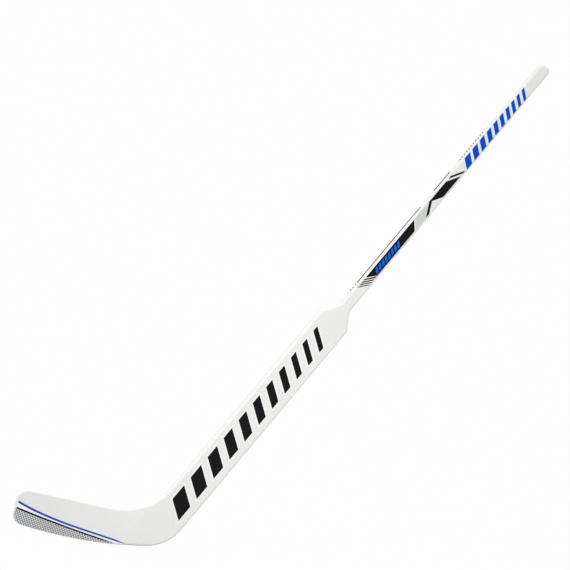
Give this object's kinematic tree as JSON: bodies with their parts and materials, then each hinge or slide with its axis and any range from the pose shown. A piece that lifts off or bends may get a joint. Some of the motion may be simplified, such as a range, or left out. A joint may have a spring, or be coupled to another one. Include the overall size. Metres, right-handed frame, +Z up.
{
  "type": "hockey goalie stick",
  "caption": "Ice hockey goalkeeper's stick: slim shaft, wide flat paddle with sloped shoulders, rounded heel and a blade curved towards its rounded toe.",
  "frame": {"origin": "on the shaft's centre line, at the middle of the lower hand's grip, 64 mm above the shoulder", "axes": "+Z up with the sole level on the ice, front face towards -Y, toe towards -X, the shaft leaning towards +X"},
  "size_m": [1.0564, 0.0241, 1.3396],
  "materials": {
    "glass_face": "white gloss lacquer over woven glass fibre",
    "hard_wood": "white gloss lacquer over hardwood",
    "core_wood": "white gloss lacquer over light wood"
  },
  "bodies": {
    "root": {"shaft_core": "core_wood", "shaft_ply_front": "hard_wood", "shaft_ply_rear": "hard_wood", "shaft_glass_front": "glass_face", "shaft_glass_rear": "glass_face", "paddle_board_toe_side": "core_wood", "paddle_board_back_side": "core_wood", "paddle_rail_toe_side": "hard_wood", "paddle_rail_back_side": "hard_wood", "paddle_glass_front": "glass_face", "paddle_glass_rear": "glass_face", "heel_block": "core_wood", "throat_block": "core_wood", "heel_glass_front": "glass_face", "heel_glass_rear": "glass_face", "blade_strip_upper": "core_wood", "blade_strip_middle": "core_wood", "blade_strip_lower": "core_wood", "blade_glass_front": "glass_face", "blade_glass_rear": "glass_face"}
  },
  "joints": []
}
